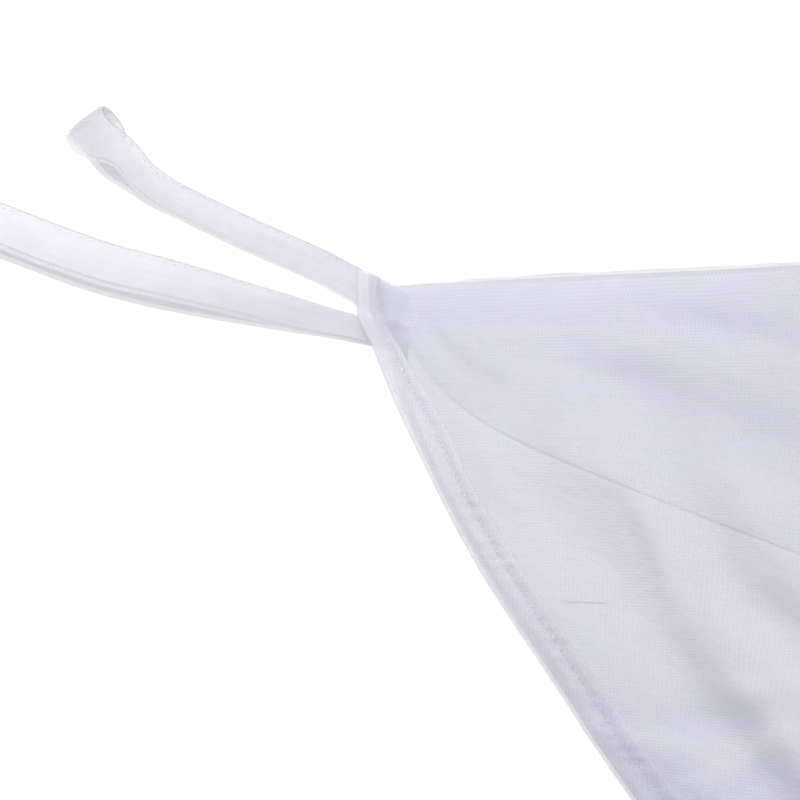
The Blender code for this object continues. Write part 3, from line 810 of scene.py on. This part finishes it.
def makeClosedCurtain(name, cut, topDrop, toWorld, seed):
    surface = ClosedSurface(cut, topDrop, toWorld, seed)
    cloth = makeCurtain(f"{name}_net", surface, steps(0.0, cut, 180), steps(0.0, 1.0, 70), f"curtain_{name}")

    def bottomWhere(across, inset):
        return across, 1.0 - inset * bottomHem["width"] / canopy["drop"]

    def startWhere(down, inset):
        return inset * sideHem["width"], down

    def endWhere(down, inset):
        return cut - inset * sideHem["width"], down

    extras = [
        makeHem(f"{name}_bottom_hem", surface, steps(0.0, cut, 260), bottomHem, bottomWhere),
        makeHem(f"{name}_start_hem", surface, steps(0.0, 1.0, 120), sideHem, startWhere),
        makeHem(f"{name}_end_hem", surface, steps(0.0, 1.0, 120), sideHem, endWhere),
    ]
    print(name, "curtain ready")


makeClosedCurtain("back", width, backDrop, backPlace, 2.5)
makeClosedCurtain("right", length, sideDrop, rightPlace, 5.5)


# Roof, and the seams that join it to the curtains. Each seam stands up a little as a narrow ridge.

class RoofSurface:
    def cornerFolds(self, x, y):  # the loops' pull draws the cloth into folds that fan out from each corner
        reach = math.hypot(x, y)
        if reach > 5 * canopy["cornerFoldReach"]:
            return 0.0
        fan = math.sin(canopy["cornerFoldCount"] * 2 * math.atan2(y, x + 1e-9))
        fade = ease(reach, 0.0, canopy["cornerFoldGrows"]) * math.exp(-reach / canopy["cornerFoldReach"])
        return canopy["cornerFolds"] * fan * fade

    def at(self, across, down):
        a, b = across / width, down / length
        inward, back = min(across, width - across), min(down, length - down)
        wander = frontWander(a) * math.exp(-down / canopy["frontWanderInward"])
        drop = backDrop(a) - wander + evenSag(b, canopy["sagSides"])
        drop += cornerFall(b) * math.exp(-inward / canopy["cornerFallInward"])
        drop += canopy["roofBelly"] * 16.0 * a * (1.0 - a) * b * (1.0 - b)
        return Vector((across - width / 2, down - length / 2, self.cornerFolds(inward, back) - drop))


def bothEnds(total, fineReach, fineStep, coarseStep):  # close together near both ends
    half = spacedPlaces(total / 2, fineReach, fineStep, coarseStep)
    return half + [total - place for place in reversed(half[:-1])]


roof = RoofSurface()
roofGrid = {"fineReach": 0.24, "fineStep": 0.008, "coarseStep": 0.025}
roofAcross, roofDown = bothEnds(width, **roofGrid), bothEnds(length, **roofGrid)
roofNet = makeCurtain("roof_net", roof, roofAcross, roofDown, "roof_panel", roofCloth)

topSeam = {
    "height": 0.0012,
    "least": 0.0002,
    "grows": (0.0, 0.10),      # it lies flat at the corners
    "rows": 3,
    "step": 0.004,
    "uneven": 0.0003,
}


def makeTopSeam(name, total, edge, outward, seed):  # edge(place) is the roof's own edge
    count = round(total / topSeam["step"])
    places = steps(0.0, total, count)

    def place(column, row):
        spot, share = places[row], column / topSeam["rows"]
        uneven = topSeam["uneven"] * noise.noise(Vector((spot * 70, share * 2, seed)))
        height = topSeam["height"] * ease(min(spot, total - spot), *topSeam["grows"]) + topSeam["least"]
        lean = outward * (uneven * 2 * share)
        point = edge(spot) + lean + Vector((0.0, 0.0, (height + uneven) * share))
        return point, (share * topSeam["height"], spot)

    return clothGrid(name, topSeam["rows"], count, place, seamCloth)


seams = [
    makeTopSeam("front_top_seam", width, lambda place: roof.at(place, 0.0), Vector((0, -1, 0)), 0.5),
    makeTopSeam("back_top_seam", width, lambda place: roof.at(place, length), Vector((0, 1, 0)), 3.5),
    makeTopSeam("left_top_seam", length, lambda place: roof.at(0.0, place), Vector((-1, 0, 0)), 6.5),
    makeTopSeam("right_top_seam", length, lambda place: roof.at(width, place), Vector((1, 0, 0)), 9.5),
]
print("roof ready")


# Ties

tie = {
    "height": 0.028,
    "clearance": 0.003,
    "slack": 0.15,             # how far round, in radians, it bridges from pleat to pleat
    "steps": 56,
    "rows": 6,
    "samples": 400,
}


def ringBand(name, path, strap):
    count = len(path)
    run = [0.0]
    for index in range(count):
        run.append(run[-1] + (path[(index + 1) % count] - path[index]).length)

    def place(column, row):
        rise = (row / tie["rows"] - 0.5) * tie["height"]
        return path[column % count] + strap * rise, (rise, run[column])

    return clothGrid(name, count, tie["rows"], place, strapCloth, closed=True)


def makeTie(name, surface):
    centre = (surface.tieLead + surface.tieFixed) / 2
    across = (surface.tieFixed - surface.tieLead).normalized()
    bundle = []  # where the cloth lies at the tie and a little above it
    for sample in range(tie["samples"] + 1):
        part = sample / tie["samples"]
        for share in (1.0 - tie["height"] / 2, 1.0):
            point, weft = surface.thread(part, share)
            out = surface.folds(part, share, weft, ease(share, *pleats["bundleForms"]))
            bundle.append(((point - centre).dot(across), out))

    def reach(angle):  # how far the bundle stands out in a direction
        return max(along * math.cos(angle) + out * math.sin(angle) for along, out in bundle)

    path = []
    for step in range(tie["steps"]):
        angle = 2 * math.pi * (step + 0.5) / tie["steps"]
        before, after = reach(angle - tie["slack"]), reach(angle + tie["slack"])
        far = (before + reach(angle) + after) / 3 + tie["clearance"]
        turn = (after - before) / (2 * tie["slack"])
        along = far * math.cos(angle) - turn * math.sin(angle)
        out = far * math.sin(angle) + turn * math.cos(angle)
        spot = centre + across * along
        path.append(surface.toWorld(spot.x, spot.y, out))
    strap = surface.toWorld(-across.y, across.x, 0.0) - surface.toWorld(0.0, 0.0, 0.0)
    band = ringBand(f"{name}_tie", path, strap)
    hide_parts(f"tie_{name}")


makeTie("front", front)
makeTie("left", left)


# Loops: a strap of net folded along its top edge, turned back on itself and sewn into the corner by both ends

Loop = namedtuple("Loop", "name turn rootDrop spread spreads rootWidth tipWidth widens line")
Corner = namedtuple("Corner", "name x y")
StrapSide = namedtuple("StrapSide", "rise lift")
loops = {
    "strap": 0.0154,
    "rootWidthReach": 0.040,
    "rootGap": 0.0013,
    "rootReach": 0.0085,
    "opening": 0.009,
    "opens": (0.01, 0.11),
    "slopeReach": 0.004,
    "tail": 0.020,
    "gathers": 0.0007,          # small folds where the strap is drawn into its seam
    "gatherSpacing": 0.0043,
    "gatherReach": 0.022,
    "crimp": 0.0006,
    "stitchInset": 0.0016,
    "stitchSpacing": 0.0036,
    "stitchLength": 0.0017,
    "stitchLift": 0.0010,
    "runSteps": 70,
    "turnSteps": 20,
    "layerShift": 0.0006,       # so that the cells of the two layers don't fall in line
    "upperLine": (  # how far out and how high its middle line lies
        (0.000, 0.0050), (0.023, 0.0185), (0.064, 0.039), (0.1075, 0.063),
        (0.122, 0.0755), (0.136, 0.087), (0.1445, 0.100),
    ),
    "lowerLine": (
        (0.000, 0.002), (0.040, 0.0095), (0.096, 0.0205), (0.123, 0.0265), (0.150, 0.035), (0.177, 0.0445),
    ),
    # The strap's section, from the inner layer's raw edge over the fold to the outer layer's edge
    "section": [StrapSide(*side) for side in (
        (-0.0059, 0.0007), (-0.0030, 0.0009), (0.0, 0.0010), (0.0040, 0.0009),
        (0.0069, 0.0006), (0.0077, 0.0), (0.0069, -0.0006), (0.0040, -0.0008),
        (0.0, -0.0008), (-0.0040, -0.0006), (-0.0065, -0.0004), (-0.0077, -0.0004),
    )],
    "corners": (
        Corner("front_left", -1, -1), Corner("front_right", 1, -1),
        Corner("back_left", -1, 1), Corner("back_right", 1, 1),
    ),
}
upperLoop = Loop(
    name="upper", turn=-20.0, rootDrop=0.007, spread=0.0065, spreads=(0.103, 0.175),
    rootWidth=1.0, tipWidth=1.50, widens=(0.139, 0.166), line=SmoothCurve(loops["upperLine"]),
)
lowerLoop = Loop(
    name="lower", turn=12.0, rootDrop=0.023, spread=0.0026, spreads=(0.020, 0.130),
    rootWidth=0.80, tipWidth=1.30, widens=(0.020, 0.130), line=SmoothCurve(loops["lowerLine"]),
)


def loopStation(loop, place):  # the middle line's point and slope, and how far each run stands from it
    here = loop.line.at(place / loop.line.length)
    ahead = loop.line.at(min(1.0, (place + loops["slopeReach"]) / loop.line.length))
    behind = loop.line.at((place - loops["slopeReach"]) / loop.line.length)
    slope = math.atan2(ahead.y - behind.y, ahead.x - behind.x)
    halfSpread = loop.spread * ease(place, *loop.spreads)
    halfSpread *= 1.0 - ease(place, *loop.widens)  # the runs close up where the strap opens out
    halfOpening = loops["rootGap"] + (loops["opening"] - loops["rootGap"]) * ease(place, *loops["opens"])
    return here, slope, halfSpread, halfOpening


def makeLoop(corner, loop, seed):
    hand = corner.x * corner.y
    heading = math.atan2(corner.y, corner.x) + math.radians(loop.turn) * hand
    outward = Vector((math.cos(heading), math.sin(heading), 0.0))
    sideways = Vector((-outward.y, outward.x, 0.0)) * hand
    diagonal = Vector((corner.x, corner.y, 0.0)).normalized()
    root = Vector((corner.x * width / 2, corner.y * length / 2, -loop.rootDrop))
    root += diagonal * loops["rootReach"]
    turnStart = loop.line.length - loops["opening"]
    outline = [(place, 1.0) for place in steps(-loops["tail"], turnStart, loops["runSteps"])]
    for step in range(1, loops["turnSteps"]):
        angle = math.pi * step / loops["turnSteps"]
        outline.append((turnStart + loops["opening"] * math.sin(angle), math.cos(angle)))
    outline += [(place, -1.0) for place in steps(turnStart, -loops["tail"], loops["runSteps"])]
    path, straps, run = [], [], [0.0]
    for place, side in outline:
        here, slope, halfSpread, halfOpening = loopStation(loop, place)
        square = Vector((0.0, 0.0, math.cos(slope))) - outward * math.sin(slope)
        apart = square * (halfSpread * side) + sideways * (halfOpening * side)
        path.append(root + outward * here.x + Vector((0.0, 0.0, here.y)) + apart)
        straps.append(square)
    for before, after in zip(path, path[1:]):
        run.append(run[-1] + (after - before).length)

    def along(column):
        return path[min(column + 1, len(path) - 1)] - path[max(column - 1, 0)]

    def strapWidth(station):
        fromRoot = loop.rootWidth + (1.0 - loop.rootWidth) * ease(station, 0.0, loops["rootWidthReach"])
        return fromRoot * (1.0 + (loop.tipWidth - 1.0) * ease(station, *loop.widens))

    def surfacePoint(column, rise, lift):
        normal = straps[column].cross(along(column)).normalized()
        place = outline[column][0]
        gathered = math.exp(-max(place, 0.0) / loops["gatherReach"])
        wander = 2.5 * noise.noise(Vector((run[column] * 40, 0, seed)))
        wave = math.sin(2 * math.pi * rise / loops["gatherSpacing"] + seed + wander)
        crimp = noise.noise(Vector((run[column] * 55, rise * 90, seed))) * loops["crimp"]
        ripple = loops["gathers"] * wave * gathered + crimp
        return path[column] + straps[column] * (rise * strapWidth(place)) + normal * (lift + ripple), normal

    def place(column, row):
        side = loops["section"][row]
        point = surfacePoint(column, side.rise, side.lift)[0]
        return point, (side.rise + row * loops["layerShift"], run[column])

    section = loops["section"]
    name = f"{loop.name}_{corner.name}"
    strap = clothGrid(f"strap_{name}", len(path) - 1, len(section) - 1, place, strapCloth)
    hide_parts(f"loop_{loop.name}_{corner.name}")
    spots, last = [], -1.0
    for column in range(1, len(path) - 1):
        if run[column] - last >= loops["stitchSpacing"]:
            last = run[column]
            spots.append(surfacePoint(column, loops["strap"] / 2 - loops["stitchInset"], loops["stitchLift"]))
    seam = makeStitches(f"strap_stitches_{name}", [spots], shadeGreyThread, loops["stitchLength"])


for corner in loops["corners"]:
    for loop in (upperLoop, lowerLoop):
        makeLoop(corner, loop, len(corner.name) + loop.turn)
print("loops ready")


# Floor, light and camera

studio = {
    "floorDrop": 0.05,
    "floorReach": 60.0,
    "floorColour": "#F6F6F8",
    "floorGlow": 0.93,
    "fill": 0.50,
    "fillTint": (0.97, 0.97, 1.0, 1.0),
    "cameraPlace": (-0.1203, -1.8797, -0.2515),
    "cameraTurn": (99.606, 0.0, 44.662),
    "cameraLens": 116.757,
}
Lamp = namedtuple("Lamp", "name size power place aim tint")
lamps = (
    Lamp("near_key", 0.25, 1.25, (-0.81, -1.41, 0.16), (-0.95, -1.06, -0.04), (1.0, 1.0, 0.99)),
    Lamp("wide_key", 2.5, 45.0, (2.2, -3.6, 1.6), (0.0, 0.0, -1.0), (1.0, 1.0, 1.0)),
    Lamp("wide_back", 2.5, 45.0, (-2.4, 3.6, 1.6), (0.0, 0.0, -1.0), (1.0, 1.0, 1.0)),
    Lamp("inner_warm", 0.4, 0.8, (-0.35, -0.60, -0.50), (-0.95, -0.87, -0.18), (1.0, 0.95, 0.86)),
)


def makeFloor():  # matt white backdrop paper, which shows as an even white ground
    builder = bmesh.new()
    bmesh.ops.create_circle(builder, cap_ends=True, segments=96, radius=studio["floorReach"])
    bmesh.ops.translate(builder, verts=builder.verts, vec=(0.0, 0.0, cadBox[0].z - studio["floorDrop"]))
    mesh = bpy.data.meshes.new("studio_floor")
    builder.to_mesh(mesh)
    builder.free()
    floor = bpy.data.objects.new("studio_floor", mesh)
    bpy.context.collection.objects.link(floor)
    paper = bpy.data.materials.new("floor_paper")
    paper.use_nodes = True
    tree = paper.node_tree
    shader = tree.nodes["Principled BSDF"]
    white = linearColour(studio["floorColour"])
    shader.inputs["Base Color"].default_value = white
    shader.inputs["Roughness"].default_value = 0.9
    glow = addNode(tree, "Emission", {"Color": white, "Strength": studio["floorGlow"]}).outputs[0]
    seen = addNode(tree, "LightPath").outputs["Is Camera Ray"]
    shown = addNode(tree, "MixShader", {0: seen, 1: shader.outputs[0], 2: glow}).outputs[0]
    tree.links.new(shown, tree.nodes["Material Output"].inputs["Surface"])
    mesh.materials.append(paper)


def makeWorld():  # a white backdrop to the camera, and a softer fill light
    world = bpy.data.worlds.new("studio")
    bpy.context.scene.world = world
    world.use_nodes = True
    tree = world.node_tree
    fill = tree.nodes["Background"]
    fill.inputs["Color"].default_value = studio["fillTint"]
    fill.inputs["Strength"].default_value = studio["fill"]
    white = addNode(tree, "Background", {"Color": (1.0, 1.0, 1.0, 1.0), "Strength": 1.0}).outputs[0]
    seen = addNode(tree, "LightPath").outputs["Is Camera Ray"]
    shown = addNode(tree, "MixShader", {0: seen, 1: fill.outputs[0], 2: white}).outputs[0]
    tree.links.new(shown, tree.nodes["World Output"].inputs[0])


def makeLamp(lamp):
    data = bpy.data.lights.new(lamp.name, "AREA")
    data.shape = "DISK"
    data.size = lamp.size
    data.energy = lamp.power
    data.color = lamp.tint
    light = bpy.data.objects.new(lamp.name, data)
    light.location = lamp.place
    light.rotation_euler = (Vector(lamp.aim) - Vector(lamp.place)).to_track_quat("-Z", "Y").to_euler()
    light.visible_camera = False
    bpy.context.collection.objects.link(light)


def makeCamera():
    data = bpy.data.cameras.new("photo_camera")
    data.lens = studio["cameraLens"]
    data.sensor_width = 36.0
    data.clip_start = 0.01
    camera = bpy.data.objects.new("photo_camera", data)
    camera.location = studio["cameraPlace"]
    camera.rotation_euler = [math.radians(angle) for angle in studio["cameraTurn"]]
    bpy.context.collection.objects.link(camera)
    bpy.context.scene.camera = camera


makeFloor()
makeWorld()
for lamp in lamps:
    makeLamp(lamp)
makeCamera()
bpy.context.scene.view_settings.view_transform = "Standard"
bpy.context.scene.cycles.transparent_max_bounces = 64
print("studio ready")
